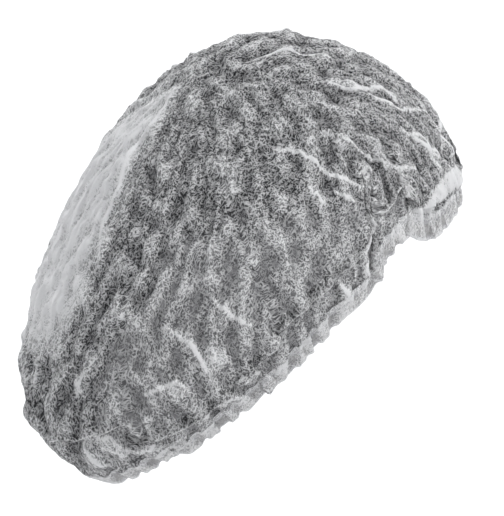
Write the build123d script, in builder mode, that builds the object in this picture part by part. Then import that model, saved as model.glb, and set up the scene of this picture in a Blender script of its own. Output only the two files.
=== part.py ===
from build123d import *
import math
import os

# Disposable bouffant cap (hair cover) in its worn shape, without the head.
# Millimetres.  +Z is up, the front of the cap (forehead) faces -Y, the wearer's
# right is -X.  The origin is the centre of the elastic opening.

# ---------------------------------------------------------------- dimensions
OPENING_TILT = 33.1      # degrees, the opening plane drops towards the nape
SHEET = 0.80             # wall of the crown sheet's solid
HEM_WIDTH = 12.0         # height of the turned-over hem
HEM_OUT = 0.90           # hem's outer face, outside the crown's outer face
HEM_IN = 1.25            # hem's inner face, inside the crown's outer face
HEM_PLY = 0.35           # each ply of the hem
HEM_GAP = 0.80           # the crown's edge stands clear of the hem by this
TUNNEL_LOW = 0.06        # tunnel in the hem, as fractions of its height
TUNNEL_HIGH = 0.72
BAND_LOW = 0.18          # elastic inside the tunnel, as fractions
BAND_HIGH = 0.60
BAND_OUT = -0.20         # elastic's outer face against the crown's outer face
BAND_IN = -0.70          # elastic's inner face
TAB_OUT = 0.15           # outer face of the overlapped end of the elastic
SEAM_LOW = 0.82          # seam line, as fractions of the hem's height
SEAM_HIGH = 0.88
SEAM_RAISE = 0.30        # how far the thread stands off the hem
TACK_PITCH = 2.2         # spacing of the tack stitches across the lap
TACK_LENGTH = 3.4        # length of one tack stitch
TACK_WIDTH = 0.6         # width of one tack stitch
TACK_RAISE = 0.15        # how far a tack stitch stands off the elastic
AXIS = -28.0             # place of the crown's top along the opening plane
TOP = 144.2              # height of the crown's top over the opening plane
TOP_RADIUS = 6.0         # the crown's slices end at this radius
SLICES = 44              # slices round half of the crown
RINGS = 12               # points up each slice

# Cross-sections parallel to the opening plane, from the rim to the top:
# height, front end, rear end, half-width, place of the widest point,
# and two exponents that make the rear of the low sections narrower.
SECTIONS = [
    (0.0, -129.0, 131.0, 64.0, -38.0, 1.75, 1.70),
    (9.0, -138.0, 139.0, 68.5, -29.0, 1.85, 1.80),
    (20.0, -144.5, 147.0, 71.5, -16.0, 1.95, 1.90),
    (40.0, -145.0, 152.5, 78.0, 0.0, 2.00, 2.00),
    (60.0, -138.5, 145.5, 82.0, 4.0, 2.00, 2.00),
    (80.0, -127.0, 125.5, 80.5, 1.0, 2.00, 2.00),
    (95.0, -115.5, 102.5, 75.0, -6.5, 2.00, 2.00),
    (108.0, -103.5, 79.0, 67.0, -13.0, 2.00, 2.00),
    (118.0, -92.5, 59.0, 58.0, -17.0, 2.00, 2.00),
    (126.0, -82.5, 42.0, 48.5, -20.0, 2.00, 2.00),
    (133.0, -70.5, 22.5, 36.5, -23.0, 2.00, 2.00),
    (139.0, -56.5, 0.5, 22.5, -26.0, 2.00, 2.00),
    (143.0, -42.5, -15.5, 10.5, -28.5, 2.00, 2.00),
]

# The rim seen from the side, as (Y, Z): over the forehead, down behind the
# ears and under the nape.  Both sides of the cap share it.
RIM_LINE = [
    (-140.0, 87.0), (-108.5, 72.5), (-97.0, 68.5), (-84.0, 63.8), (-71.0, 59.0),
    (-60.0, 55.2), (-50.0, 52.6), (-40.0, 51.0), (-30.0, 50.2), (-20.0, 49.5),
    (-10.0, 48.2), (-2.0, 46.0), (4.5, 42.2), (9.0, 37.0), (12.0, 31.0),
    (15.0, 25.0), (19.0, 19.0), (25.0, 14.0), (33.0, 9.5), (43.0, 2.5),
    (53.0, -5.5), (62.0, -14.0), (71.0, -23.0), (79.0, -31.5), (88.0, -40.0),
    (98.0, -48.5), (108.0, -56.0), (117.0, -63.0), (124.0, -71.0), (130.0, -83.0),
]

# ------------------------------------------------------------------- helpers
tilt = math.radians(OPENING_TILT)
up_y, up_z = math.sin(tilt), math.cos(tilt)      # normal of the opening plane


def form_at(height):
    """The section table at any height, by cubic interpolation."""
    rows = SECTIONS
    i = max(0, min(len(rows) - 2, sum(1 for r in rows if r[0] <= height) - 1))
    a, b = rows[i], rows[i + 1]
    before, after = rows[max(i - 1, 0)], rows[min(i + 2, len(rows) - 1)]
    gap = b[0] - a[0]
    t = (height - a[0]) / gap
    values = []
    for k in range(1, 7):
        ma = (b[k] - before[k]) / (b[0] - before[0]) * gap
        mb = (after[k] - a[k]) / (after[0] - a[0]) * gap
        values.append((2 * t**3 - 3 * t**2 + 1) * a[k] + (t**3 - 2 * t**2 + t) * ma
                      + (3 * t**2 - 2 * t**3) * b[k] + (t**3 - t**2) * mb)
    return values


def half_width(y, z):
    """Half-width of the cap at a point of its side view, or below 0 outside."""
    along = y * math.cos(tilt) - z * math.sin(tilt)
    height = y * up_y + z * up_z
    front, rear, half, wide, p, q = form_at(height)
    if along >= wide:
        c = (along - wide) / (rear - wide)
    else:
        c, p, q = (wide - along) / (wide - front), 2.0, 2.0
    return half * (1 - c ** p) ** (1 / q) if c < 1 else 1 - c


def outline_point(angle, height):
    """Radius of the cap's outline at a height, at an angle about its axis,
    measured from the rear."""
    front, rear, half, wide, p, q = form_at(height)
    low, high = 0.0, math.pi
    for _ in range(60):
        turn = (low + high) / 2
        c = math.cos(turn)
        if c >= 0:
            along = wide + (rear - wide) * c
            across = half * (1 - c ** p) ** (1 / q)
        else:
            along = wide + (wide - front) * c
            across = half * math.sqrt(max(1 - c * c, 0.0))
        if math.atan2(across, along - AXIS) < angle:
            low = turn
        else:
            high = turn
    return math.hypot(across, along - AXIS)


with BuildLine() as rim_side:
    rim_edge = Spline(*RIM_LINE)


def rim_point(t, shift):
    """A point of the cap's surface above the rim line, on the +X side."""
    place = rim_edge @ t
    y, z = place.X + shift * up_y, place.Y + shift * up_z
    return Vector(max(half_width(y, z), 0.0), y, z)


def rim_end(inside, outside, shift):
    """Where the line above the rim meets the middle plane."""
    for _ in range(50):
        middle = (inside + outside) / 2
        place = rim_edge @ middle
        if half_width(place.X + shift * up_y, place.Y + shift * up_z) > 0:
            inside = middle
        else:
            outside = middle
    return inside


def rim_row(shift, count):
    """Points round half the rim at one shift, from the front to the nape,
    evenly spaced, with both ends in the middle plane."""
    front, rear = rim_end(0.5, 0.0, shift), rim_end(0.5, 1.0, shift)
    fine = []
    for i in range(1201):
        s = (1 - math.cos(math.pi * i / 1200)) / 2
        fine.append(rim_point(front + (rear - front) * s, shift))
    fine[0] = Vector(0, fine[0].Y, fine[0].Z)
    fine[-1] = Vector(0, fine[-1].Y, fine[-1].Z)
    run = [0.0]
    for a, b in zip(fine, fine[1:]):
        run.append(run[-1] + (b - a).length)
    row, k = [], 0
    for i in range(count + 1):
        want = run[-1] * i / count
        while k < len(run) - 2 and run[k + 1] < want:
            k += 1
        part = (want - run[k]) / (run[k + 1] - run[k])
        row.append(fine[k] + (fine[k + 1] - fine[k]) * part)
    return row


def above_rim(angle, height, shift):
    """How far a point of the cap's surface lies above the shifted rim line."""
    radius = outline_point(angle, height)
    along = AXIS + radius * math.cos(angle)
    y = along * math.cos(tilt) + (height - shift) * up_y
    z = -along * math.sin(tilt) + (height - shift) * up_z
    for a, b in zip(rim_fine, rim_fine[1:]):
        if a.X <= y <= b.X:
            part = (y - a.X) / (b.X - a.X)
            return z - (a.Y + (b.Y - a.Y) * part)
    return 1.0


def slice_points(angle, shift):
    """Outer points of one slice of the crown, as (radius, height), from the
    hem's upper edge to the top."""
    low, high = 0.0, 80.0
    for _ in range(40):
        middle = (low + high) / 2
        if above_rim(angle, middle, shift) > 0:
            high = middle
        else:
            low = middle
    start = high
    fine = []
    for i in range(121):
        height = start + (SECTIONS[-1][0] - start) * math.sin(math.pi / 2 * i / 120)
        fine.append((outline_point(angle, height), height))
    run = [0.0]
    for a, b in zip(fine, fine[1:]):
        run.append(run[-1] + math.dist(a, b))
    points, k = [], 0
    for i in range(RINGS):
        want = run[-1] * i / (RINGS - 1)
        while k < len(run) - 2 and run[k + 1] < want:
            k += 1
        part = (want - run[k]) / (run[k + 1] - run[k])
        points.append((fine[k][0] + (fine[k + 1][0] - fine[k][0]) * part,
                       fine[k][1] + (fine[k + 1][1] - fine[k][1]) * part))
    points.append((TOP_RADIUS, TOP))
    return points


def inset(points, wall):
    """The slice's points moved inwards by the wall, square to the slice."""
    moved = []
    for k, (r, h) in enumerate(points):
        a, b = points[max(k - 1, 0)], points[min(k + 1, len(points) - 1)]
        dr, dh = b[0] - a[0], b[1] - a[1]
        if k == len(points) - 1:
            dr, dh = -1.0, 0.0
        size = math.hypot(dr, dh)
        moved.append((r - wall * dh / size, h + wall * dr / size))
    return moved


rim_fine = [rim_edge @ (i / 400) for i in range(401)]

STATIONS = 50
low_row = rim_row(0.0, STATIONS)
high_row = rim_row(HEM_WIDTH, STATIONS)
out_row = []
for k in range(STATIONS + 1):
    back = low_row[max(k - 1, 0)]
    ahead = low_row[min(k + 1, STATIONS)]
    along = ahead - back
    if k in (0, STATIONS):
        along = Vector(1 if k == 0 else -1, 0, 0)
    out_row.append(along.cross(high_row[k] - low_row[k]).normalized() * -1)
# outwards is away from the wearer's head
if out_row[STATIONS // 2].X < 0:
    out_row = [v * -1 for v in out_row]


def ribbon(low, high, inner, outer, first=0, last=STATIONS):
    """A band round the rim: low and high are heights in the hem from 0 at the
    rim to 1 at its upper edge; inner and outer are offsets along the normal."""
    with BuildPart() as side:
        for k in range(first, last + 1):
            rise = high_row[k] - low_row[k]
            corners = [
                low_row[k] + rise * low + out_row[k] * inner,
                low_row[k] + rise * low + out_row[k] * outer,
                low_row[k] + rise * high + out_row[k] * outer,
                low_row[k] + rise * high + out_row[k] * inner,
            ]
            normal = rise.cross(out_row[k]).normalized()
            plane = Plane(origin=corners[0], x_dir=out_row[k], z_dir=normal)
            local = [plane.to_local_coords(c) for c in corners]
            with BuildSketch(plane):
                with BuildLine():
                    Polyline(*[(c.X, c.Y) for c in local], close=True)
                make_face()
        loft()
        mirror(about=Plane.YZ)
    return side.part


os.makedirs("parts", exist_ok=True)

# --------------------------------------------------------------- crown sheet
# One thin sheet, open along the upper edge of the hem: slices of its wall
# about the crown's axis, lofted round one side and mirrored, with a small
# disc that closes the top.
axis_y, axis_z = AXIS * math.cos(tilt), -AXIS * math.sin(tilt)
with BuildPart() as crown_sheet:
    for k in range(SLICES + 1):
        angle = math.pi * k / SLICES
        outward = (math.sin(angle), math.cos(angle) * math.cos(tilt),
                   -math.cos(angle) * math.sin(tilt))
        side_on = Vector(*outward).cross(Vector(0, up_y, up_z))
        plane = Plane(origin=(0, axis_y, axis_z), x_dir=outward, z_dir=side_on)
        outer = slice_points(angle, HEM_WIDTH + HEM_GAP)
        inner = inset(outer, SHEET)
        with BuildSketch(plane):
            with BuildLine():
                Spline(*outer)
                Line(outer[-1], inner[-1])
                Spline(*reversed(inner))
                Line(inner[0], outer[0])
            make_face()
    loft()
    mirror(about=Plane.YZ)
    disc = TOP - SHEET - 0.05
    with BuildSketch(Plane(origin=(0, axis_y + disc * up_y, axis_z + disc * up_z),
                           x_dir=(1, 0, 0), z_dir=(0, up_y, up_z))):
        Circle(TOP_RADIUS + 1.5)
    extrude(amount=SHEET + 0.1)
crown_sheet.part.label = "crown_sheet"
export_step(crown_sheet.part, "parts/crown_sheet.step")

# ---------------------------------------------------------------- hem casing
# The rim turned over into a tunnel round the elastic: a closed channel, two
# plies thick, that follows the rim line.
with BuildPart() as hem_casing:
    add(ribbon(0.0, 1.0, -HEM_IN, HEM_OUT))
    add(ribbon(TUNNEL_LOW, TUNNEL_HIGH, HEM_PLY - HEM_IN, HEM_OUT - HEM_PLY),
        mode=Mode.SUBTRACT)
hem_casing.part.label = "hem_casing"
export_step(hem_casing.part, "parts/hem_casing.step")

# -------------------------------------------------------------- elastic band
# Flat elastic loop inside the tunnel, its end lapped over its start at the
# nape.
with BuildPart() as elastic_band:
    add(ribbon(BAND_LOW, BAND_HIGH, BAND_IN, BAND_OUT))
    add(ribbon(BAND_LOW, BAND_HIGH, BAND_OUT - 0.05, TAB_OUT, STATIONS - 1))
elastic_band.part.label = "elastic_band"
export_step(elastic_band.part, "parts/elastic_band.step")

# ------------------------------------------------------- elastic tack stitches
# Three short bars of thread across the lap that hold the elastic's two ends.
lap_low = low_row[STATIONS] + (high_row[STATIONS] - low_row[STATIONS]) * BAND_LOW
lap_high = low_row[STATIONS] + (high_row[STATIONS] - low_row[STATIONS]) * BAND_HIGH
lap_plane = Plane(
    origin=(lap_low + lap_high) * 0.5 + out_row[STATIONS] * (TAB_OUT + 0.02),
    x_dir=(1, 0, 0),
    z_dir=out_row[STATIONS],
)
with BuildPart() as elastic_tack_stitches:
    with BuildSketch(lap_plane):
        with GridLocations(TACK_PITCH, 0, 3, 1):
            SlotOverall(TACK_LENGTH, TACK_WIDTH, rotation=90)
    extrude(amount=TACK_RAISE)
elastic_tack_stitches.part.label = "elastic_tack_stitches"
export_step(elastic_tack_stitches.part, "parts/elastic_tack_stitches.step")

# ---------------------------------------------------------------- hem seam
# The line of thread that closes the tunnel under the hem's upper edge.
with BuildPart() as hem_seam_thread:
    add(ribbon(SEAM_LOW, SEAM_HIGH, HEM_OUT + 0.02, HEM_OUT + SEAM_RAISE))
hem_seam_thread.part.label = "hem_seam_thread"
export_step(hem_seam_thread.part, "parts/hem_seam_thread.step")

loop = 2 * sum((b - a).length for a, b in zip(low_row, low_row[1:]))
print("rim loop", round(loop, 1), "mm")
for piece in (crown_sheet, hem_casing, elastic_band, elastic_tack_stitches,
              hem_seam_thread):
    box = piece.part.bounding_box()
    print(piece.part.label, len(piece.part.solids()), round(piece.part.volume, 1),
          [round(v, 1) for v in (box.min.X, box.min.Y, box.min.Z,
                                 box.max.X, box.max.Y, box.max.Z)])
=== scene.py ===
import bpy
import math
import time
import numpy as np
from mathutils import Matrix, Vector


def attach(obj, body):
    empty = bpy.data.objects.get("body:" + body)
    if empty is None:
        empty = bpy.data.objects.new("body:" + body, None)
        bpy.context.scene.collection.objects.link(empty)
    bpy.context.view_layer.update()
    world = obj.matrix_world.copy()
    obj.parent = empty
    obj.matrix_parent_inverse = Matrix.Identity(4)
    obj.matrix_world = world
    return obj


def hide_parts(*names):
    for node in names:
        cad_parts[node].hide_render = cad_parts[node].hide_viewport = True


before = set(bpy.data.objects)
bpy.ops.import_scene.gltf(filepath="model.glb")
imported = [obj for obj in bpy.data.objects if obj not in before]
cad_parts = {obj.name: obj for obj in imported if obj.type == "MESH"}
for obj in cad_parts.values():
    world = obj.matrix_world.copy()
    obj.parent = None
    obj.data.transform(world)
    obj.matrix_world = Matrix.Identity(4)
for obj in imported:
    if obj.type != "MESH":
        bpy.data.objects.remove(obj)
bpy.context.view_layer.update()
clock = time.time()

# ------------------------------------------------------------ the smooth form
# The same tables as the CAD part, in millimetres.
TILT = math.radians(33.1)
UP = np.array([0.0, math.sin(TILT), math.cos(TILT)])
ALONG = np.array([0.0, math.cos(TILT), -math.sin(TILT)])
TOP = 144.2
SECTIONS = np.array([
    (0.0, -129.0, 131.0, 64.0, -38.0, 1.75, 1.70),
    (9.0, -138.0, 139.0, 68.5, -29.0, 1.85, 1.80),
    (20.0, -144.5, 147.0, 71.5, -16.0, 1.95, 1.90),
    (40.0, -145.0, 152.5, 78.0, 0.0, 2.00, 2.00),
    (60.0, -138.5, 145.5, 82.0, 4.0, 2.00, 2.00),
    (80.0, -127.0, 125.5, 80.5, 1.0, 2.00, 2.00),
    (95.0, -115.5, 102.5, 75.0, -6.5, 2.00, 2.00),
    (108.0, -103.5, 79.0, 67.0, -13.0, 2.00, 2.00),
    (118.0, -92.5, 59.0, 58.0, -17.0, 2.00, 2.00),
    (126.0, -82.5, 42.0, 48.5, -20.0, 2.00, 2.00),
    (133.0, -70.5, 22.5, 36.5, -23.0, 2.00, 2.00),
    (139.0, -56.5, 0.5, 22.5, -26.0, 2.00, 2.00),
    (143.0, -42.5, -15.5, 10.5, -28.5, 2.00, 2.00),
])
RIM_LINE = np.array([
    (-140.0, 87.0), (-108.5, 72.5), (-97.0, 68.5), (-84.0, 63.8), (-71.0, 59.0),
    (-60.0, 55.2), (-50.0, 52.6), (-40.0, 51.0), (-30.0, 50.2), (-20.0, 49.5),
    (-10.0, 48.2), (-2.0, 46.0), (4.5, 42.2), (9.0, 37.0), (12.0, 31.0),
    (15.0, 25.0), (19.0, 19.0), (25.0, 14.0), (33.0, 9.5), (43.0, 2.5),
    (53.0, -5.5), (62.0, -14.0), (71.0, -23.0), (79.0, -31.5), (88.0, -40.0),
    (98.0, -48.5), (108.0, -56.0), (117.0, -63.0), (124.0, -71.0), (130.0, -83.0),
])

COLUMNS = 960        # round the rim
ROWS = 200           # from the rim to the middle of the disc
HEM_ROWS = 8         # rows in the turned-over hem
HEM = 12.0           # its height, mm
DISC = 488.0         # the flat disc the cap is cut from, mm across

# Sharp creases on the cloth, as lines of points in the row frame, in mm, with
# the height of each ridge.
# the doubled band of cloth that rises from above the ear to the brow
BROW_FOLD = [(-78.0, 9.0, 44.8), (-76.5, -2.0, 50.2), (-73.9, -16.8, 58.7), (-69.0, -34.6, 67.9),
             (-60.5, -57.3, 75.9), (-52.0, -71.0, 79.5)]
CREASES = [
    (1.3, [(-78.2, 36.3, 79.7), (-79.2, 16.5, 77.6), (-74.2, -16.4, 75.9), (-66.0, -42.0, 76.5)]),
    (1.5, [(-69.8, -10.1, 100.5), (-67.3, -32.8, 91.2), (-56.0, -64.6, 84.7)]),
    (1.3, [(-60.5, 114.0, 18.0), (-66.3, 106.5, 9.6), (-70.5, 92.4, 3.8)]),
    (1.4, [(-37.8, 140.6, -26.0), (-49.0, 128.9, -21.4), (-53.1, 112.8, -28.8), (-55.7, 91.4, -28.5)]),
    (1.2, [(-17.5, 146.5, -47.4), (-21.4, 137.2, -53.2), (-30.4, 126.2, -51.5), (-41.9, 114.6, -43.1)]),
    (1.9, [(-59.5, 70.8, 88.8), (-66.7, 61.0, 87.9), (-75.8, 49.8, 78.5), (-80.0, 36.2, 72.5), (-80.4, 14.2, 67.0)]),
    (1.6, [(-72.0, 37.9, 94.2), (-77.7, 22.3, 84.8), (-72.1, -22.9, 80.0)]),
    (1.4, [(-79.9, 24.9, 75.1), (-75.9, -10.4, 72.3)]),
    (1.5, [(-54.9, 29.1, 121.5), (-60.5, 16.9, 118.4), (-57.9, -13.0, 120.7), (-61.4, -20.3, 113.4)]),
    (1.5, [(-68.8, -19.1, 98.3), (-60.6, -53.2, 86.9)]),
    (1.9, [(-46.3, 131.4, 4.1), (-54.7, 124.8, -2.8), (-56.7, 120.2, -12.2), (-57.0, 108.9, -23.2)]),
    (1.5, [(-58.6, 118.8, -5.2), (-61.9, 108.6, -11.4), (-61.1, 93.8, -19.8)]),
    (1.3, [(-57.0, 16.6, 122.5), (-63.6, 1.6, 115.0), (-64.4, -16.8, 109.7), (-56.2, -41.0, 111.8)]),
    (1.2, [(-74.7, 63.0, 69.7), (-79.0, 57.1, 62.6)]),
    (1.8, [(3.7, 73.1, 119.5), (4.2, 86.7, 104.4), (5.9, 102.3, 84.7), (6.1, 114.5, 65.3), (3.0, 125.8, 46.1)]),
    (1.4, [(-78.8, 49.6, 69.9), (-81.0, 41.1, 65.2), (-81.6, 25.4, 58.2)]),
    (1.6, [(-54.7, 100.8, -29.1), (-48.4, 111.2, -36.0), (-43.1, 119.2, -40.6), (-36.6, 132.7, -41.7), (-28.5, 144.4, -37.8)]),
    (1.6, [(-0.4, 154.5, -33.2), (-7.2, 153.3, -38.6), (-9.9, 150.7, -44.7), (-11.3, 146.2, -51.4), (-11.4, 135.6, -59.8)]),
    (1.4, [(-63.7, 100.2, -12.5), (-59.4, 80.0, -22.6)]),
    (1.3, [(-45.1, -69.3, 108.0), (-55.3, -59.8, 96.2)]),
    (1.2, [(-22.9, 48.0, 134.1), (-31.7, 28.4, 138.6), (-43.6, 12.2, 134.9)]),
    (1.6, [(-79.2, 27.8, 37.6), (-77.8, 28.4, 31.3), (-74.3, 20.0, 25.5)]),
    (1.6, [(-78.5, 45.5, 26.6), (-75.4, 37.5, 21.4), (-72.7, 31.0, 17.4)]),
    # the wearer's left side
    (1.7, [(58.0, 66.0, 92.0), (70.0, 52.0, 84.0), (79.0, 30.0, 72.0), (79.5, 8.0, 66.0)]),
    (1.4, [(75.0, 40.0, 90.0), (77.5, 12.0, 80.0), (71.0, -20.0, 82.0)]),
    (1.7, [(48.0, 130.0, 6.0), (56.0, 121.0, -8.0), (57.0, 108.0, -22.0)]),
    (1.4, [(61.0, -22.0, 112.0), (57.0, -52.0, 94.0)]),
    (1.4, [(40.0, 118.0, 40.0), (56.0, 104.0, 28.0), (66.0, 84.0, 14.0)]),
    (1.3, [(30.0, -40.0, 128.0), (33.0, -70.0, 114.0), (30.0, -92.0, 96.0)]),
    (1.3, [(-14.0, -50.0, 128.0), (-17.0, -80.0, 112.0), (-14.0, -100.0, 92.0)]),
]
# Tucks that run along the rim, where the cloth doubles back on itself: the
# middle column, the half-length in columns, the distance of the fold from the
# rim in mm and the tuck's depth in mm.
TUCKS = [
    (838, 80, 22.0, 9.0),
    (748, 30, 27.0, 5.0),
    (672, 66, 34.0, 6.5),
    (570, 58, 28.0, 7.0),
    (480, 46, 40.0, 6.0),
    (10, 62, 26.0, 6.0),
    (120, 62, 23.0, 8.0),
    (222, 54, 33.0, 6.0),
    (322, 58, 25.0, 6.5),
    (404, 40, 36.0, 6.0),
]


def form_at(h):
    h = np.clip(np.asarray(h, float), 0.0, TOP - 1e-4)
    k = np.where(h > 143.0, np.sqrt((TOP - h) / (TOP - 143.0)), 1.0)
    h = np.minimum(h, 143.0)
    i = np.clip(np.searchsorted(SECTIONS[:, 0], h, side="right") - 1, 0, len(SECTIONS) - 2)
    a, b = SECTIONS[i], SECTIONS[i + 1]
    before, after = SECTIONS[np.maximum(i - 1, 0)], SECTIONS[np.minimum(i + 2, len(SECTIONS) - 1)]
    gap = b[..., :1] - a[..., :1]
    t = (h[..., None] - a[..., :1]) / gap
    ma = (b - before) / (b[..., :1] - before[..., :1]) * gap
    mb = (after - a) / (after[..., :1] - a[..., :1]) * gap
    v = ((2 * t**3 - 3 * t**2 + 1) * a + (t**3 - 2 * t**2 + t) * ma
         + (3 * t**2 - 2 * t**3) * b + (t**3 - t**2) * mb)
    front, rear, half, wide, p, q = (v[..., n] for n in range(1, 7))
    return wide + (front - wide) * k, wide + (rear - wide) * k, half * k, wide, p, q


def excess(points):
    """Below 0 inside the smooth form, above 0 outside."""
    u, h = points @ ALONG, points @ UP
    front, rear, half, wide, p, q = form_at(h)
    back = u >= wide
    c = np.abs(u - wide) / np.where(back, rear - wide, wide - front)
    p, q = np.where(back, p, 2.0), np.where(back, q, 2.0)
    value = c**p + (np.abs(points[..., 0]) / half) ** q - 1
    return np.where(h >= TOP, 1.0, value)


def half_width(y, z):
    points = np.stack([np.zeros_like(y), y, z], -1)
    u, h = points @ ALONG, points @ UP
    front, rear, half, wide, p, q = form_at(h)
    back = u >= wide
    c = np.abs(u - wide) / np.where(back, rear - wide, wide - front)
    p, q = np.where(back, p, 2.0), np.where(back, q, 2.0)
    return np.where(c < 1, half * np.maximum(1 - np.minimum(c, 1)**p, 0) ** (1 / q), 1 - c)


def rim_curve(t):
    """The rim line at t from 0 to 1, a smooth curve through its points."""
    p = RIM_LINE
    run = np.concatenate([[0], np.cumsum(np.hypot(*np.diff(p, axis=0).T))])
    run /= run[-1]
    slope = np.gradient(p, run, axis=0)
    t = np.asarray(t, float)
    i = np.clip(np.searchsorted(run, t, side="right") - 1, 0, len(p) - 2)
    gap = run[i + 1] - run[i]
    w = ((t - run[i]) / gap)[..., None]
    gap = gap[..., None]
    return ((2 * w**3 - 3 * w**2 + 1) * p[i] + (w**3 - 2 * w**2 + w) * slope[i] * gap
            + (3 * w**2 - 2 * w**3) * p[i + 1] + (w**3 - w**2) * slope[i + 1] * gap)


def resample(points, count=None, at=None):
    """A polyline's points at even distances, or at the given distances."""
    run = np.concatenate([[0], np.cumsum(np.linalg.norm(np.diff(points, axis=0), axis=1))])
    want = np.linspace(0, run[-1], count) if at is None else at
    return np.stack([np.interp(want, run, points[:, k]) for k in range(3)], -1)


def rim_half():
    """Half the rim, on the +X side, from the front to the nape."""
    ends = []
    for inside, outside in ((0.5, 0.0), (0.5, 1.0)):
        for _ in range(50):
            mid = (inside + outside) / 2
            y, z = rim_curve(mid)
            if half_width(np.array([y]), np.array([z]))[0] > 0:
                inside = mid
            else:
                outside = mid
        ends.append(inside)
    s = (1 - np.cos(np.pi * np.arange(3001) / 3000)) / 2
    yz = rim_curve(ends[0] + (ends[1] - ends[0]) * s)
    x = np.maximum(half_width(yz[:, 0], yz[:, 1]), 0)
    x[0] = x[-1] = 0
    return resample(np.column_stack([x, yz]), COLUMNS // 2 + 1)


CENTRE = np.array([0.0, 6.0, 8.0])


def cast(directions):
    """Where rays from the centre meet the smooth form."""
    low = np.full(directions.shape[:-1], 5.0)
    high = np.full(directions.shape[:-1], 260.0)
    for _ in range(26):
        mid = (low + high) / 2
        out = excess(CENTRE + directions * mid[..., None]) > 0
        high = np.where(out, mid, high)
        low = np.where(out, low, mid)
    return CENTRE + directions * ((low + high) / 2)[..., None]


def unit(v):
    return v / np.maximum(np.linalg.norm(v, axis=-1, keepdims=True), 1e-12)


def gradient(points):
    """The smooth form's outward direction at points on or near it."""
    e = 0.05
    parts = []
    for k in range(3):
        step = np.zeros(3)
        step[k] = e
        parts.append(excess(points + step) - excess(points - step))
    return unit(np.stack(parts, -1))


def smooth_grid():
    """The smooth form as a grid: rows from the rim to the disc's middle, and
    columns round the rim from the front, over the +X side, to the nape.  Also
    the outward directions, the cloth's length from the rim at each row, and
    0 to 1 along the tucks' fold lines, for a painted highlight there."""
    rim = rim_half()
    aim = unit(rim - CENTRE)
    # the middle of the disc: halfway along the middle line, over the top
    a = math.atan2(aim[0, 2], aim[0, 1])
    b = math.atan2(aim[-1, 2], aim[-1, 1])
    angles = np.linspace(a, b, 1500)
    arc = cast(np.stack([np.zeros_like(angles), np.cos(angles), np.sin(angles)], -1))
    run = np.concatenate([[0], np.cumsum(np.linalg.norm(np.diff(arc, axis=0), axis=1))])
    turn = np.interp(run[-1] * 0.5, run, angles)
    pole = np.array([0.0, math.cos(turn), math.sin(turn)])
    t = np.linspace(0, 1, 201)
    angle = np.arccos(np.clip(aim @ pole, -1, 1))[:, None, None]
    rays = (np.sin((1 - t)[None, :, None] * angle) * aim[:, None, :]
            + np.sin(t[None, :, None] * angle) * pole) / np.sin(angle)
    lines = cast(unit(rays))
    lines[:, 0] = rim
    lines = np.concatenate([lines, lines[-2:0:-1] * np.array([-1.0, 1.0, 1.0])])
    grid = np.empty((ROWS + 1, COLUMNS, 3))
    lift = np.zeros((ROWS + 1, COLUMNS))
    edge = np.zeros((ROWS + 1, COLUMNS))
    length = np.empty((ROWS + 1, COLUMNS))
    for j, line in enumerate(lines):
        run = np.concatenate([[0], np.cumsum(np.linalg.norm(np.diff(line, axis=0), axis=1))])
        whole = run[-1]
        fine = np.linspace(0, whole, 900)
        place, rise, tuck_highlight = fine, np.zeros_like(fine), np.zeros_like(fine)
        for middle, reach, start, depth in TUCKS:
            gap = abs((j - middle + COLUMNS / 2) % COLUMNS - COLUMNS / 2) / reach
            if gap >= 1:
                continue
            w = depth * (1 - gap**2) ** 0.7
            # the cloth goes up to the fold, back down by w, and up again
            total = whole + 2 * w
            fine = np.linspace(0, total, 1400)
            place = np.where(fine < start, fine, np.where(fine < start + w, 2 * start - fine, fine - 2 * w))
            near = np.ones(17) / 17
            place = np.convolve(np.pad(place, 8, mode="edge"), near, mode="valid")
            rise = np.interp(fine, [start - 2, start + w / 2, start + w + 1, start + w + 26],
                             [0, min(1.4, w * 0.4), min(2.6, w * 0.8), 0])
            if w < 1.2:
                rise = rise * w / 1.2
            # a painted highlight along the tuck's two fold lines, stronger on the lower one
            tuck_highlight = (np.exp(-((fine - start - w) / 0.9) ** 2) + 0.6 * np.exp(-((fine - start) / 0.9) ** 2)) * min(1, w / 3)
        at = np.concatenate([np.linspace(0, HEM, HEM_ROWS + 1),
                             np.linspace(HEM, fine[-1], ROWS - HEM_ROWS + 1)[1:]])
        where = np.interp(at, fine, place)
        grid[:, j] = np.stack([np.interp(where, run, line[:, k]) for k in range(3)], -1)
        lift[:, j] = np.interp(at, fine, rise)
        edge[:, j] = np.interp(at, fine, tuck_highlight)
        length[:, j] = at
    out = gradient(grid)
    out[-1] = out[-2].mean(0)
    out = unit(out)
    return grid + out * lift[..., None], out, length, edge


# ------------------------------------------------------------ the cloth solver
def normals_of(x):
    across = np.roll(x, -1, 1) - np.roll(x, 1, 1)
    up = np.empty_like(x)
    up[1:-1] = x[2:] - x[:-2]
    up[0] = x[1] - x[0]
    up[-1] = up[-2]
    return unit(np.cross(across, up))


def pull(a, b, rest, k_long, k_short):
    d = b - a
    length = np.sqrt((d * d).sum(-1))
    part = 1 - rest / np.maximum(length, 1e-6)
    part *= np.where(part > 0, 0.5 * k_long, 0.5 * k_short)
    d *= part[..., None]
    return d


def blurred(field, across, along):
    """Gaussian blur of a (rows, columns) field: across is the spread in
    columns for each row, along the spread in rows."""
    n = field.shape[1]
    freq = np.fft.rfftfreq(n)
    spec = np.fft.rfft(field, axis=1)
    spec *= np.exp(-2 * (np.pi * freq[None, :] * np.asarray(across)[:, None]) ** 2)
    out = np.fft.irfft(spec, n, axis=1)
    reach = int(3 * along) + 1
    kernel = np.exp(-0.5 * (np.arange(-reach, reach + 1) / along) ** 2)
    kernel /= kernel.sum()
    padded = np.pad(out, ((reach, reach), (0, 0)), mode="reflect")
    return sum(k * padded[i:i + out.shape[0]] for i, k in enumerate(kernel))


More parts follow.
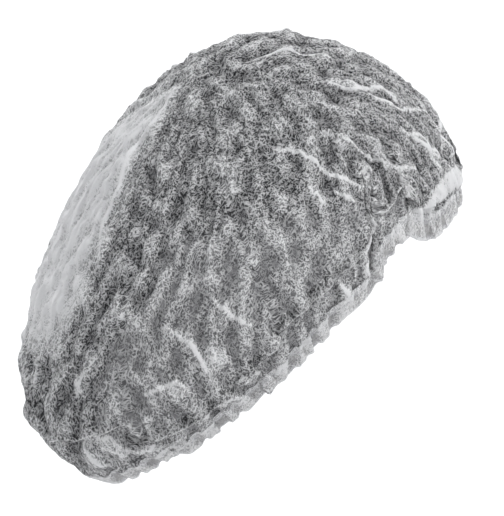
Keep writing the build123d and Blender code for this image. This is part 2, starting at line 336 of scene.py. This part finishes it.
def relax(x, smooth, normal, rest_c, rest_m, rest_d, limit, hold, steps, bend, pin_top):
    """Moves a compressed sheet to its own lengths: it buckles into folds that
    stay within limit of the smooth form."""
    rows = x.shape[0]
    for step in range(steps):
        # round the rim
        c = pull(x[:, 0::2], x[:, 1::2], rest_c[:, 0::2], 0.9, 0.6)
        x[:, 0::2] += c
        x[:, 1::2] -= c
        nxt = np.roll(x[:, 0::2], -1, 1)
        c = pull(x[:, 1::2], nxt, rest_c[:, 1::2], 0.9, 0.6)
        x[:, 1::2] += c
        x[:, 0::2] -= np.roll(c, 1, 1)
        # up the sheet
        for first in (0, 1):
            a, b = x[first:rows - 1:2], x[first + 1:rows:2]
            c = pull(a, b, rest_m[first::2][:len(b)], 0.9, 0.6)
            a += c
            b -= c
        # both diagonals
        for first in (0, 1):
            for way in (1, -1):
                a = x[first:rows - 1:2]
                b = np.roll(x[first + 1:rows:2], -way, 1)
                c = pull(a, b, rest_d[first::2][:len(b)], 0.35, 0.25)
                a += c
                x[first + 1:rows:2] -= np.roll(c, way, 1)
        # bending
        curl = np.roll(x, 1, 1) + np.roll(x, -1, 1) - 2 * x
        x -= bend / 16 * (np.roll(curl, 1, 1) + np.roll(curl, -1, 1) - 2 * curl)
        curl = x[2:] + x[:-2] - 2 * x[1:-1]
        x[2:-2] -= bend / 16 * (curl[2:] + curl[:-2] - 2 * curl[1:-1])
        # near the smooth form
        off = x - smooth
        out = (off * normal).sum(-1)
        keep = np.clip(out, -limit, limit) - out
        x += normal * keep[..., None] - hold[:, None, None] * off
        x[pin_top:] = smooth[pin_top:]
    return x


def ripples(points, waves, seed, count=220):
    """An even, isotropic pattern of waves over the form, of the wavelengths
    given as (shortest, longest) in mm."""
    rng = np.random.default_rng(seed)
    k = unit(rng.standard_normal((count, 3))) * (2 * np.pi / rng.uniform(waves[0], waves[1], (count, 1)))
    phase = rng.uniform(0, 2 * np.pi, count)
    out = np.zeros(points.shape[:-1], np.float32)
    flat_points = points.reshape(-1, 3).astype(np.float32)
    total = np.zeros(len(flat_points), np.float32)
    for i in range(count):
        total += np.cos(flat_points @ k[i].astype(np.float32) + np.float32(phase[i]))
    out[...] = total.reshape(out.shape)
    return out / out.std()


def ridges(points):
    """Height of the sharp creases, in mm, and their thin lines, 0 to 1, drawn whiter and more opaque: partly the denser
    cloth of a crease, partly painted highlight.
    """
    flat_points = points.reshape(-1, 3)
    out = np.zeros(len(flat_points))
    thin = np.zeros(len(flat_points))
    rng = np.random.default_rng(11)
    lines = [(height, np.array(line)) for height, line in CREASES]
    # shorter creases that run up from the gathered rim
    for k in range(46):
        first, last = rng.uniform(14, 42), rng.uniform(20, 58)
        rows = np.linspace(first, first + last, 7) / 237.0 * ROWS
        cols = rng.uniform(0, COLUMNS) + np.linspace(0, rng.uniform(-26, 26), 7) + rng.normal(0, 1.6, 7)
        lines.append((rng.uniform(0.6, 1.3), points[np.round(rows).astype(int), np.round(cols).astype(int) % COLUMNS]))
    for height, line in lines:
        count = max(6, int(np.linalg.norm(np.diff(line, axis=0), axis=1).sum() / 1.0))
        t = np.linspace(0, 1, count)
        way = resample(line, count)
        way += np.sin(t * 11 + rng.uniform(0, 6))[:, None] * rng.normal(0, 0.6, 3)
        way = cast(unit(way - CENTRE))
        near = np.where(np.linalg.norm(flat_points - way.mean(0), axis=1)
                        < np.linalg.norm(way - way.mean(0), axis=1).max() + 9)[0]
        best = np.full(len(near), 1e9)
        fade = np.zeros(len(near))
        for i, w in enumerate(way):
            d = np.linalg.norm(flat_points[near] - w, axis=1)
            closer = d < best
            best = np.where(closer, d, best)
            fade = np.where(closer, math.sin(math.pi * (0.04 + 0.92 * t[i])) ** 0.4, fade)
        out[near] = np.maximum(out[near], height * fade * np.exp(-(best / 1.15) ** 1.3))
        thin[near] = np.maximum(thin[near], min(1.0, 0.25 + height / 1.9) * fade * np.exp(-(best / 0.76) ** 2))
    return out.reshape(points.shape[:-1]), thin.reshape(points.shape[:-1])


def doubled(points):
    """0 to 1 where the cloth lies double: the fold over the right temple."""
    way = resample(np.array(BROW_FOLD), 60)
    near = np.full(points.shape[:-1], -9.0)
    for t, w in zip(np.linspace(0, 1, 60), way):
        wide = 2.4 + 4.6 * t**1.2
        near = np.maximum(near, 1 - np.linalg.norm(points - w, axis=-1) / wide)
    return np.clip(near / 0.22, 0, 1) ** 2 * (3 - 2 * np.clip(near / 0.22, 0, 1))


def painted_light_patch(points):
    """0 to 1 on the puffed part at the rear left, which hangs clear of the head, for a painted patch of light there."""
    def step(v, a, b):
        v = np.clip((v - a) / (b - a), 0, 1)
        return v * v * (3 - 2 * v)
    x, y, z = points[..., 0], points[..., 1], points[..., 2]
    return step(x, -9, 15) * (1 - step(x, 50, 78)) * step(y, 58, 84) * step(z, -22, 14)


def settle():
    smooth, normal, length, edge = smooth_grid()
    seg_c = np.linalg.norm(np.roll(smooth, -1, 1) - smooth, axis=-1)
    whole = length[-1:]
    part = 1 - length / whole
    flat_c = 2 * np.pi * (DISC / 2 - HEM) * part / COLUMNS
    ring = flat_c.sum(1) / np.maximum(seg_c.sum(1), 1e-6)
    print("gathering by row", ring[::12].round(2), "meridians", whole.min().round(1), whole.max().round(1))
    d_rim = length.mean(1)
    gather = np.interp(d_rim, [0, 12, 35, 80, 140, 240], GATHER)
    over_m = np.interp(d_rim, [0, 12, 35, 80, 240], LENGTHEN)
    crease, thin = ridges(smooth)
    double, light_patch = doubled(smooth), painted_light_patch(smooth)
    crease = crease + 0.9 * double
    # soft scallops of the rim between its pleats
    rng = np.random.default_rng(5)
    scallop = blurred(rng.standard_normal((1, COLUMNS)).repeat(2, 0), [5.2, 5.2], 0.3)[0]
    scallop /= scallop.std()
    down = unit(smooth[0] - smooth[4])
    smooth = smooth + down * (0.75 * scallop)[None, :, None] * np.exp(-(length / 9.0) ** 2)[..., None]
    # the small crumples all over the sheet
    rng = np.random.default_rng(17)
    step_c = np.maximum(seg_c.mean(1), 1e-3)
    long_ones = blurred(rng.standard_normal(smooth.shape[:2]), np.minimum(2.6 / step_c, COLUMNS / 9), 3.4 / float(np.diff(d_rim).mean()))
    long_ones /= np.maximum(long_ones.std(1, keepdims=True), 1e-9)
    crumple = (CRUMPLE[0] * long_ones + CRUMPLE[1] * ripples(smooth, (9.0, 16.0), 31)
               + CRUMPLE[2] * ripples(smooth, (3.6, 5.4), 32, 320))
    away = 1 - np.exp(-(d_rim / 22.0) ** 2)[:, None]
    near_middle = np.clip((whole - length) / 14.0, 0, 1)
    target = smooth + normal * (crease + crumple * away * near_middle)[..., None]
    near_rim = np.exp(-(d_rim / 48.0) ** 2)[:, None]
    row_mm = float(np.diff(d_rim).mean())
    x = None
    rng = np.random.default_rng(7)
    for scale, steps in ((4, 220), (2, 170), (1, 130)):
        s = target[::scale, ::scale].astype(np.float32)
        base = smooth[::scale, ::scale]
        n = normal[::scale, ::scale].astype(np.float32)
        g = gather[::scale][:, None]
        m = over_m[::scale]
        dr = d_rim[::scale]
        rc = np.maximum(np.linalg.norm(np.roll(base, -1, 1) - base, axis=-1) * g,
                        np.linalg.norm(np.roll(s, -1, 1) - s, axis=-1)).astype(np.float32)
        rm = np.maximum(np.linalg.norm(np.diff(base, axis=0), axis=-1) * ((m[1:] + m[:-1]) / 2)[:, None],
                        np.linalg.norm(np.diff(s, axis=0), axis=-1)).astype(np.float32)
        rd = np.sqrt(((rc[1:] + rc[:-1]) / 2) ** 2 + rm**2).astype(np.float32)
        limit = np.interp(dr, [0, 12, 30, 90, 240], LIMIT).astype(np.float32)[:, None]
        hold = np.interp(dr, [0, 12, 60, 240], [0.004, 0.004, 0.003, 0.004]).astype(np.float32)
        pitch = np.maximum(np.linalg.norm(np.roll(base, -1, 1) - base, axis=-1).mean(1), 1e-3)
        wave = np.interp(dr, [0, 12, 35, 80, 240], [4.6, 5.6, 10.0, 15.0, 20.0])
        rise = row_mm * scale
        folds = blurred(rng.standard_normal(base.shape[:2]), np.minimum(wave / 4.6 / pitch, base.shape[1] / 6), 7.5 / rise)
        folds /= np.maximum(folds.std(1, keepdims=True), 1e-9)
        w = near_rim[::scale]
        size = {4: (9.0, 15.0), 2: (7.0, 11.0), 1: (4.5, 8.0)}[scale]
        noise = (folds * w + ripples(base, size, 20 + scale) * np.sqrt(1 - w**2) * 0.3) * np.clip(g * 2.2 - 2.0, 0.1, 1)
        if x is None:
            x = s + n * (noise * 1.3)[..., None]
        else:
            off = x - s_before
            up = np.repeat(off, 2, axis=1)
            up[:, 1::2] = (off + np.roll(off, -1, 1)) / 2
            full = np.empty((s.shape[0],) + up.shape[1:], np.float32)
            full[0::2] = up
            full[1::2] = (up[:-1] + up[1:]) / 2
            x = s + full + n * (noise * (0.5 if scale == 2 else 0.22))[..., None]
        x = x.astype(np.float32)
        relax(x, s, n, rc, rm, rd, limit, hold, steps, 0.7, s.shape[0] - max(1, 3 // scale))
        s_before = s
        print("level", scale, round(time.time() - clock, 1), "s")
    return x.astype(float), smooth, normal, part, length, (thin, double, light_patch), edge


# Round the rim, up the sheet and limits of the folds, at 0, 12, 35, 80, 140
# and 240 mm from the rim (LENGTHEN: 0, 12, 35, 80, 240; LIMIT: 0, 12, 30, 90, 240).
GATHER = [1.58, 1.55, 1.17, 1.04, 1.0, 1.0]
LENGTHEN = [1.0, 1.02, 1.05, 1.02, 1.0]
LIMIT = [1.0, 1.15, 0.95, 0.6, 0.5]
CRUMPLE = (0.44, 0.55, 0.305)
cloth, smooth, normal, part, length, (thin, double, light_patch), edge = settle()


# ------------------------------------------------------------------- meshes
def face_mesh(name, verts, faces, attrs=(), smooth_shade=True):
    """A mesh object from points in mm and quads, with point attributes."""
    faces = np.asarray(faces, np.int32)
    mesh = bpy.data.meshes.new(name)
    mesh.vertices.add(len(verts))
    mesh.vertices.foreach_set("co", (np.asarray(verts, float) * 0.001).ravel())
    mesh.loops.add(faces.size)
    mesh.loops.foreach_set("vertex_index", faces.ravel())
    mesh.polygons.add(len(faces))
    mesh.polygons.foreach_set("loop_start", (np.arange(len(faces)) * faces.shape[1]).astype(np.int32))
    mesh.update(calc_edges=True)
    mesh.polygons.foreach_set("use_smooth", np.full(len(faces), smooth_shade))
    for label, values in attrs:
        if values.ndim == 2:
            mesh.attributes.new(label, "FLOAT_VECTOR", "POINT").data.foreach_set("vector", np.asarray(values, float).ravel())
        else:
            mesh.attributes.new(label, "FLOAT", "POINT").data.foreach_set("value", np.asarray(values, float).ravel())
    mesh.validate()
    mesh.update()
    obj = bpy.data.objects.new(name, mesh)
    bpy.context.scene.collection.objects.link(obj)
    return obj


def ring_faces(rows, cols):
    """Quads of a (rows, columns) grid that is closed round its columns."""
    i, j = np.meshgrid(np.arange(rows - 1), np.arange(cols), indexing="ij")
    jn = (j + 1) % cols
    return np.stack([i * cols + j, i * cols + jn, (i + 1) * cols + jn, (i + 1) * cols + j], -1).reshape(-1, 4)


def sheet_mesh(name, points, flat, folds_and_painted_light):
    rows, cols = points.shape[:2]
    return face_mesh(name, points.reshape(-1, 3), ring_faces(rows, cols),
                     (("flat", flat.reshape(-1, 3) * 0.001), ("folds_and_painted_light", folds_and_painted_light.ravel())))


def tubes(name, paths, radius, sides=6):
    """Round threads along several paths, each an array of points in mm."""
    verts, faces, start = [], [], 0
    for path in paths:
        path = np.asarray(path, float)
        along = unit(np.gradient(path, axis=0))
        side = unit(np.cross(along, np.array([0.31, 0.52, 0.79])))
        other = np.cross(along, side)
        t = np.linspace(0, 1, len(path))
        r = radius * np.clip(np.minimum(t, 1 - t) * len(path) * 0.9 + 0.35, 0, 1)
        a = 2 * np.pi * np.arange(sides) / sides
        ring = (path[:, None] + r[:, None, None] * (np.cos(a)[None, :, None] * side[:, None]
                                                    + np.sin(a)[None, :, None] * other[:, None]))
        verts.append(ring.reshape(-1, 3))
        faces.append(ring_faces(len(path), sides) + start)
        start += len(path) * sides
    return face_mesh(name, np.concatenate(verts), np.concatenate(faces))


turn = 2 * np.pi * np.arange(COLUMNS) / COLUMNS
radius = (DISC / 2 - HEM) * part
flat = np.stack([radius * np.cos(turn)[None, :], radius * np.sin(turn)[None, :], np.zeros_like(radius)], -1)
facing = normals_of(cloth)
if (facing[ROWS // 2] * normal[ROWS // 2]).sum() < 0:
    facing = -facing

# how far each point stands out of the cloth around it: painted highlight on the crests and painted shade in the hollows
height = ((cloth - smooth) * normal).sum(-1)
pitch = np.maximum(np.linalg.norm(np.roll(smooth, -1, 1) - smooth, axis=-1).mean(1), 1e-3)
row_mm = float(np.diff(length.mean(1)).mean())
near = blurred(height, np.minimum(1.6 / pitch, COLUMNS / 8), 1.6 / row_mm)
around = blurred(height, np.minimum(8.0 / pitch, COLUMNS / 8), 8.0 / row_mm)
crest_highlight_hollow_shade = near - around
crest_highlight_hollow_shade = np.clip(crest_highlight_hollow_shade / np.maximum(crest_highlight_hollow_shade.std(1, keepdims=True), 0.25), -1.8, 1.8)
# the fold attribute, whiter and more opaque: painted highlight and painted shade on crests and hollows, crease lines
# (denser cloth and painted highlight), the doubled band of cloth, a painted patch of light on the puffed part and
# painted highlights along the tucks' fold lines
folds_and_painted_light = 0.15 * crest_highlight_hollow_shade + 1.45 * thin + 0.90 * double + 0.88 * light_patch + 0.9 * edge
# in the hem, only the painted highlight and painted shade of its crests and hollows
folds_and_painted_light[:HEM_ROWS + 1] = 0.4 * crest_highlight_hollow_shade[:HEM_ROWS + 1]

crown = sheet_mesh("crown_cloth", cloth[HEM_ROWS:], flat[HEM_ROWS:], folds_and_painted_light[HEM_ROWS:])

# The hem: the crown's edge runs down to the rim, turns over and comes back up
# inside, with its free edge just above the seam.
rng = np.random.default_rng(3)
inner_wave = blurred(rng.standard_normal((HEM_ROWS + 3, COLUMNS)), np.full(HEM_ROWS + 3, 7.0), 2.0)
inner_wave *= 0.22 / inner_wave.std()
edge_noise = np.fft.irfft(np.fft.rfft(rng.standard_normal(COLUMNS)) * np.exp(-2 * (np.pi * np.fft.rfftfreq(COLUMNS) * 8) ** 2), COLUMNS)
edge_noise /= edge_noise.std()
down = unit(cloth[0] - cloth[1])
apart = np.interp(np.arange(HEM_ROWS + 1), [0, 1, 5, HEM_ROWS], [0.55, 0.95, 0.95, 0.45])
outer = cloth[:HEM_ROWS + 1][::-1]
rim_fold = cloth[0] + down * 0.45 - facing[0] * 0.28
inside = cloth[:HEM_ROWS + 1] - facing[:HEM_ROWS + 1] * (apart[:, None, None] + inner_wave[:HEM_ROWS + 1, :, None])
reach = (1.6 + 0.5 * edge_noise)[:, None]
top_step = unit(cloth[HEM_ROWS + 1] - cloth[HEM_ROWS])
allowance = np.stack([inside[-1] + top_step * reach * 0.5, inside[-1] + top_step * reach - facing[HEM_ROWS] * 0.25])
hem_points = np.concatenate([outer, rim_fold[None], inside, allowance])
hem_flat_rows = np.concatenate([np.arange(HEM_ROWS, -1, -1) * 1.5, [-0.4],
                                -1.0 - np.arange(HEM_ROWS + 1) * 1.5, [-14.0, -15.0]])
hem_radius = DISC / 2 - HEM - hem_flat_rows
hem_flat = np.stack([hem_radius[:, None] * np.cos(turn), hem_radius[:, None] * np.sin(turn),
                     np.zeros((len(hem_radius), COLUMNS))], -1)
# the hem's outer rows carry the same painted crest highlight and hollow shade; the rim's turn, the hem's upper edge and
# the free edge get painted highlight lines
hem_folds_and_light = np.zeros(hem_points.shape[:2])
hem_folds_and_light[:HEM_ROWS + 1] = folds_and_painted_light[:HEM_ROWS + 1][::-1]
hem_folds_and_light[HEM_ROWS:HEM_ROWS + 3] += 0.9
hem_folds_and_light[0:2] += 0.45
hem_folds_and_light[-1] += 0.8
hem = sheet_mesh("hem_cloth", hem_points, hem_flat, hem_folds_and_light)


def hem_at(share, out):
    """A line round the rim at a share of the hem's height, out from its outer
    ply by a distance in mm."""
    r = share * HEM_ROWS
    i = min(int(r), HEM_ROWS - 1)
    w = r - i
    line = cloth[i] * (1 - w) + cloth[i + 1] * w
    n = unit(facing[i] * (1 - w) + facing[i + 1] * w)
    return line + n * out


# the elastic: a flat woven band between the two plies
low, high = 0.16, 0.60
corners = [hem_at(low, -0.60), hem_at(low, -0.30), hem_at((low + high) / 2, -0.26), hem_at(high, -0.30),
           hem_at(high, -0.60), hem_at((low + high) / 2, -0.64)]
loop = np.stack(corners + corners[:1])
elastic_run = np.concatenate([[0], np.cumsum(np.linalg.norm(np.diff(corners[0], axis=0), axis=1))])
band_flat = np.stack([np.broadcast_to(elastic_run, loop.shape[:2]),
                      np.broadcast_to(np.array([0, 0.3, 2.8, 5.6, 5.9, 8.7, 11.5])[:, None], loop.shape[:2]),
                      np.zeros(loop.shape[:2])], -1)
elastic = sheet_mesh("elastic_tape", loop, band_flat, np.zeros(loop.shape[:2]))

# the elastic's ends are held by three short bars of thread at the nape
mid = COLUMNS // 2
bars = []
for k in (-1, 0, 1):
    j = mid + 4 * k
    bars.append(np.stack([hem_at(low + (high - low) * q, -0.22 + 0.06 * math.sin(math.pi * q))[j]
                          for q in np.linspace(0.1, 0.9, 7)]))
tacks = tubes("tack_bars", bars, 0.13)

# the seam: a running line of stitches under the hem's upper edge
line = hem_at(0.85, 0.10)
run = np.concatenate([[0], np.cumsum(np.linalg.norm(np.diff(np.vstack([line, line[:1]]), axis=0), axis=1))])
around_line = np.vstack([line, line[:1]])
out_line = np.vstack([facing[7], facing[7][:1]])
stitches = []
for s0 in np.arange(0, run[-1] - 2.4, 2.75):
    at = np.linspace(s0, s0 + 2.1, 5)
    p = np.stack([np.interp(at, run, around_line[:, k]) for k in range(3)], -1)
    n = np.stack([np.interp(at, run, out_line[:, k]) for k in range(3)], -1)
    stitches.append(p + n * np.array([-0.16, 0.0, 0.05, 0.0, -0.16])[:, None])
seam = tubes("seam_stitches", stitches, 0.13)

# a few fibres that have come loose from the cut and the rim
fibres = []
for k in range(26):
    j = int(rng.integers(0, COLUMNS))
    start = cloth[int(rng.integers(0, 3)), j] + facing[0, j] * 0.1
    way = unit(down[j] * rng.uniform(0.2, 1.0) + facing[0, j] * rng.uniform(0.1, 0.9) + rng.normal(0, 0.5, 3))
    bend_way = unit(np.cross(way, rng.normal(0, 1, 3)))
    t = np.linspace(0, 1, 12)[:, None]
    size = rng.uniform(3.0, 7.5)
    fibres.append(start + way * t * size + bend_way * t**2 * size * rng.uniform(0.3, 0.9))
loose = tubes("loose_fibres", fibres, 0.055, 5)


# ---------------------------------------------------------------- materials
def new_material(name):
    mat = bpy.data.materials.new(name)
    mat.use_nodes = True
    nodes, links = mat.node_tree.nodes, mat.node_tree.links
    nodes.clear()

    def node(kind, **settings):
        n = nodes.new(kind)
        for k, v in settings.items():
            setattr(n, k, v)
        return n

    def calc(op, *values, clamp=False):
        n = node("ShaderNodeMath", operation=op, use_clamp=clamp)
        for slot, v in enumerate(values):
            if isinstance(v, (int, float)):
                n.inputs[slot].default_value = v
            else:
                links.new(v, n.inputs[slot])
        return n.outputs[0]

    def mapped(value, a, b, c, d, kind="LINEAR"):
        n = node("ShaderNodeMapRange", interpolation_type=kind)
        for key, v in (("From Min", a), ("From Max", b), ("To Min", c), ("To Max", d)):
            n.inputs[key].default_value = v
        links.new(value, n.inputs["Value"])
        return n.outputs[0]

    return mat, node, links, calc, mapped


def nonwoven(name, veil, web_gain, tone=(0.42, 0.42, 0.43), white=(0.97, 0.97, 0.975), glow=0.34,
             haze=(0.40, 0.40, 0.41), web_white=1.0):
    """Spunbond polypropylene: a random web of fine filaments over a thinner
    veil, denser and whiter where the fold attribute is high: where the cloth
    lies double or creased, and as painted highlight, painted shade and a
    painted patch of light."""
    mat, node, links, calc, mapped = new_material(name)
    place = node("ShaderNodeAttribute", attribute_name="flat").outputs["Vector"]
    folds_and_painted_light_value = node("ShaderNodeAttribute", attribute_name="folds_and_painted_light").outputs["Fac"]
    web = None
    strokes = ((0.15, 0.0030, 0.00072, 0.0), (0.82, 0.0026, 0.00066, 3.1), (1.47, 0.0032, 0.00076, 7.7),
               (2.11, 0.0027, 0.00068, 11.3), (2.74, 0.0031, 0.00074, 17.9))
    for angle, long, thin, offset in strokes:
        m = node("ShaderNodeMapping", vector_type="TEXTURE")
        m.inputs["Location"].default_value = (offset * 0.01, offset * 0.017, 0)
        m.inputs["Rotation"].default_value = (0, 0, angle)
        m.inputs["Scale"].default_value = (long, thin, 1)
        links.new(place, m.inputs["Vector"])
        n = node("ShaderNodeTexNoise", noise_dimensions="2D")
        n.inputs["Scale"].default_value = 1.0
        n.inputs["Detail"].default_value = 0.6
        n.inputs["Distortion"].default_value = 0.55
        links.new(m.outputs[0], n.inputs["Vector"])
        s = mapped(n.outputs["Fac"], 0.59, 0.70, 0.0, 1.0, "SMOOTHSTEP")
        web = s if web is None else calc("MAXIMUM", web, s)
    cloud = node("ShaderNodeTexNoise", noise_dimensions="2D")
    cloud.inputs["Scale"].default_value = 210.0
    cloud.inputs["Detail"].default_value = 2.5
    cloud.inputs["Roughness"].default_value = 0.62
    links.new(place, cloud.inputs["Vector"])
    thick = mapped(cloud.outputs["Fac"], 0.32, 0.68, 0.55, 1.4)
    base = calc("MULTIPLY", thick, veil)
    strands = calc("MULTIPLY", web, calc("MULTIPLY", thick, web_gain))
    cover = calc("ADD", base, strands)
    # more opaque where the fold attribute is high, its painted highlight and shade included
    cover = calc("ADD", cover, calc("MULTIPLY", folds_and_painted_light_value, 0.40))
    cover = calc("MINIMUM", calc("MAXIMUM", cover, 0.06), 0.97)

    # white on the strokes and where the fold attribute is high, darker where it is negative in the hollows: partly
    # doubled cloth, partly painted highlight and painted shade
    tint = node("ShaderNodeMix", data_type="RGBA")
    tint.inputs["A"].default_value = (*tone, 1)
    tint.inputs["B"].default_value = (*white, 1)
    links.new(calc("ADD", calc("MULTIPLY", web, web_white), folds_and_painted_light_value, clamp=True), tint.inputs["Factor"])
    colour = tint.outputs["Result"]
    face = node("ShaderNodeBsdfPrincipled")
    face.inputs["Roughness"].default_value = 0.85
    face.inputs["Specular IOR Level"].default_value = 0.15
    face.inputs["Sheen Weight"].default_value = 0.25
    face.inputs["Sheen Roughness"].default_value = 0.45
    links.new(colour, face.inputs["Base Color"])
    bump = node("ShaderNodeBump")
    bump.inputs["Strength"].default_value = 0.5
    bump.inputs["Distance"].default_value = 0.0002
    links.new(web, bump.inputs["Height"])
    links.new(bump.outputs[0], face.inputs["Normal"])
    through = node("ShaderNodeBsdfTranslucent")
    links.new(colour, through.inputs["Color"])
    body = node("ShaderNodeMixShader")
    body.inputs[0].default_value = glow
    links.new(face.outputs[0], body.inputs[1])
    links.new(through.outputs[0], body.inputs[2])
    clear = node("ShaderNodeBsdfTransparent")
    clear.inputs["Color"].default_value = (*haze, 1)
    mix = node("ShaderNodeMixShader")
    links.new(cover, mix.inputs[0])
    links.new(clear.outputs[0], mix.inputs[1])
    links.new(body.outputs[0], mix.inputs[2])
    out = node("ShaderNodeOutputMaterial")
    links.new(mix.outputs[0], out.inputs["Surface"])
    return mat


def tape(name):
    """Covered elastic: fine lengthwise ribs with a crosswise wrap."""
    mat, node, links, calc, mapped = new_material(name)
    place = node("ShaderNodeAttribute", attribute_name="flat").outputs["Vector"]
    ribs = node("ShaderNodeTexWave", wave_type="BANDS", bands_direction="Y")
    ribs.inputs["Scale"].default_value = 260.0
    links.new(place, ribs.inputs["Vector"])
    wrap = node("ShaderNodeTexWave", wave_type="BANDS", bands_direction="X")
    wrap.inputs["Scale"].default_value = 420.0
    wrap.inputs["Distortion"].default_value = 1.2
    links.new(place, wrap.inputs["Vector"])
    weave = calc("MULTIPLY", ribs.outputs["Fac"], calc("ADD", 0.5, calc("MULTIPLY", wrap.outputs["Fac"], 0.5)))
    tint = node("ShaderNodeMix", data_type="RGBA")
    tint.inputs["A"].default_value = (0.70, 0.69, 0.67, 1)
    tint.inputs["B"].default_value = (0.90, 0.89, 0.87, 1)
    links.new(weave, tint.inputs["Factor"])
    face = node("ShaderNodeBsdfPrincipled")
    face.inputs["Roughness"].default_value = 0.7
    face.inputs["Sheen Weight"].default_value = 0.2
    links.new(tint.outputs["Result"], face.inputs["Base Color"])
    bump = node("ShaderNodeBump")
    bump.inputs["Distance"].default_value = 0.00015
    links.new(weave, bump.inputs["Height"])
    links.new(bump.outputs[0], face.inputs["Normal"])
    out = node("ShaderNodeOutputMaterial")
    links.new(face.outputs[0], out.inputs["Surface"])
    return mat


def thread(name, low, high):
    """Spun white thread, with fine bumps and uneven brightness."""
    mat, node, links, calc, mapped = new_material(name)
    place = node("ShaderNodeTexCoord").outputs["Object"]
    noise = node("ShaderNodeTexNoise", noise_dimensions="3D")
    noise.inputs["Scale"].default_value = 2600.0
    noise.inputs["Detail"].default_value = 2.0
    links.new(place, noise.inputs["Vector"])
    tint = node("ShaderNodeMix", data_type="RGBA")
    tint.inputs["A"].default_value = (low, low, low, 1)
    tint.inputs["B"].default_value = (high, high, high, 1)
    links.new(noise.outputs["Fac"], tint.inputs["Factor"])
    face = node("ShaderNodeBsdfPrincipled")
    face.inputs["Roughness"].default_value = 0.6
    face.inputs["Sheen Weight"].default_value = 0.3
    links.new(tint.outputs["Result"], face.inputs["Base Color"])
    bump = node("ShaderNodeBump")
    bump.inputs["Distance"].default_value = 0.0001
    links.new(noise.outputs["Fac"], bump.inputs["Height"])
    links.new(bump.outputs[0], face.inputs["Normal"])
    out = node("ShaderNodeOutputMaterial")
    links.new(face.outputs[0], out.inputs["Surface"])
    return mat


# the crown's veil is near black, its strokes greyer and its see-through haze dark grey: painted shade, standing in for
# the dark seen through the white cloth
crown.data.materials.append(nonwoven("nonwoven_single_painted_shade", 0.62, 0.46, tone=(0.045, 0.045, 0.048), haze=(0.16, 0.16, 0.165), web_white=0.68))
hem.data.materials.append(nonwoven("nonwoven_hem_ply", 0.50, 0.46, tone=(0.60, 0.60, 0.61), glow=0.40, haze=(0.72, 0.72, 0.73)))
elastic.data.materials.append(tape("covered_elastic"))
white_thread = thread("white_thread", 0.78, 0.95)
for piece in (tacks, seam, loose):
    piece.data.materials.append(white_thread)

for piece, node, slot in ((crown, "crown_sheet", "nonwoven_sheet"), (hem, "hem_casing", "nonwoven_hem"),
                          (elastic, "elastic_band", "elastic"), (tacks, "elastic_tack_stitches", "thread"),
                          (seam, "hem_seam_thread", "thread"), (loose, None, "nonwoven_sheet")):
    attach(piece, "root")
    if node:
        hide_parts(node)


# ------------------------------------------------------------ floor and light
def cove():
    """A plain pale floor that curves up all round, far from the cap."""
    profile = [(0.0, -0.34), (1.0, -0.34), (2.5, -0.34), (3.6, -0.34)]
    profile += [(3.6 + 1.6 * math.sin(a), -0.34 + 1.6 * (1 - math.cos(a))) for a in np.linspace(0.1, math.pi / 2, 16)]
    profile += [(5.2, 2.5), (5.2, 4.0)]
    rings = 96
    a = 2 * np.pi * np.arange(rings) / rings
    pts = np.array([[(max(r, 1e-3) * math.cos(t), max(r, 1e-3) * math.sin(t), z) for t in a] for r, z in profile])
    obj = face_mesh("studio_floor", pts.reshape(-1, 3) * 1000.0, ring_faces(len(profile), rings))
    mat, node, links, calc, mapped = new_material("pale_floor")
    noise = node("ShaderNodeTexNoise")
    noise.inputs["Scale"].default_value = 3.0
    links.new(node("ShaderNodeTexCoord").outputs["Object"], noise.inputs["Vector"])
    tint = node("ShaderNodeMix", data_type="RGBA")
    tint.inputs["A"].default_value = (*FLOOR, 1)
    tint.inputs["B"].default_value = (*(c * 1.02 for c in FLOOR), 1)
    links.new(noise.outputs["Fac"], tint.inputs["Factor"])
    face = node("ShaderNodeBsdfPrincipled")
    face.inputs["Roughness"].default_value = 0.9
    face.inputs["Specular IOR Level"].default_value = 0.1
    links.new(tint.outputs["Result"], face.inputs["Base Color"])
    out = node("ShaderNodeOutputMaterial")
    links.new(face.outputs[0], out.inputs["Surface"])
    obj.data.materials.append(mat)
    return obj


FLOOR = (0.80, 0.80, 0.805)
cove()

world = bpy.data.worlds.new("studio")
bpy.context.scene.world = world
world.use_nodes = True
world.node_tree.nodes["Background"].inputs[0].default_value = (0.96, 0.98, 1.0, 1)
world.node_tree.nodes["Background"].inputs[1].default_value = 0.55


def area_light(name, place, aim, size, power):
    data = bpy.data.lights.new(name, "AREA")
    data.size = size
    data.energy = power
    obj = bpy.data.objects.new(name, data)
    bpy.context.scene.collection.objects.link(obj)
    obj.location = place
    obj.rotation_euler = (Vector(aim) - Vector(place)).to_track_quat("-Z", "Y").to_euler()
    return obj


target = Vector((0.0018, 0.0191, 0.0375))
toward = Vector((-0.669, 0.743, 0.0)).normalized()
right = Vector((-0.743, -0.669, 0.0)).normalized()
area_light("key", target + toward * 0.45 + right * 1.2 + Vector((0, 0, 1.25)), target, 0.35, 17)
area_light("backdrop_left", target - toward * 2.2 - right * 1.2 + Vector((0, 0, 2.6)), target - toward * 4.6, 2.2, 130)
area_light("rim", target - toward * 1.1 - right * 0.9 + Vector((0, 0, 1.0)), target, 0.6, 9)

cam_data = bpy.data.cameras.new("camera")
cam_data.lens = 228.57
cam_data.sensor_width = 36.0
cam_data.sensor_fit = "HORIZONTAL"
cam_data.clip_start, cam_data.clip_end = 0.05, 50
cam = bpy.data.objects.new("camera", cam_data)
bpy.context.scene.collection.objects.link(cam)
cam.location = target + toward * 1.6
cam.rotation_euler = (-toward).to_track_quat("-Z", "Y").to_euler()
bpy.context.scene.camera = cam
bpy.context.scene.view_settings.view_transform = "Standard"

print("made in", round(time.time() - clock, 1), "s")
